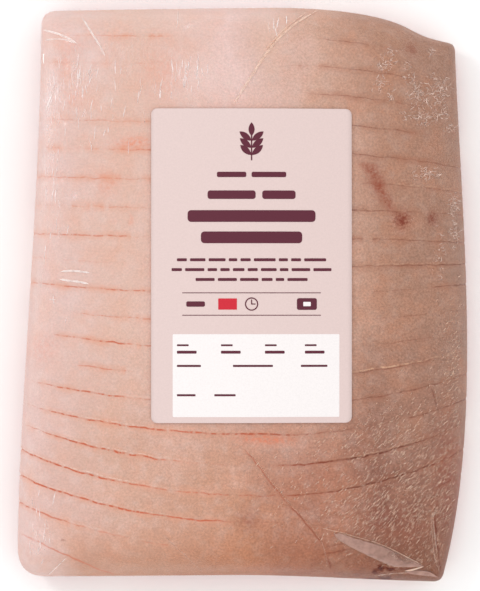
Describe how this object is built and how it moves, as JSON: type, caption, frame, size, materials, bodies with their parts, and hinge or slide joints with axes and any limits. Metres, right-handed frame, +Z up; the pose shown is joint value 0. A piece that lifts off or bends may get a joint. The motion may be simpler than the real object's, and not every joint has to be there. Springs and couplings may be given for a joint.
{
  "type": "vacuum-packed pork roast",
  "caption": "Raw boneless pork roast with scored rind, lying rind up and sealed tight in a clear vacuum bag with a paper label on top.",
  "frame": {"origin": "on the resting surface, below the middle of the pack's outline", "axes": "+X across the roast along its scored cuts, +Y along its length towards the back end, +Z up out of the rind"},
  "size_m": [0.1718, 0.2192, 0.048],
  "materials": {
    "sealed_roast": "clear shrunk film over pale pink and tan scored rind",
    "label": null
  },
  "bodies": {
    "root": {"sealed_roast": "sealed_roast", "label": "label"}
  },
  "joints": []
}
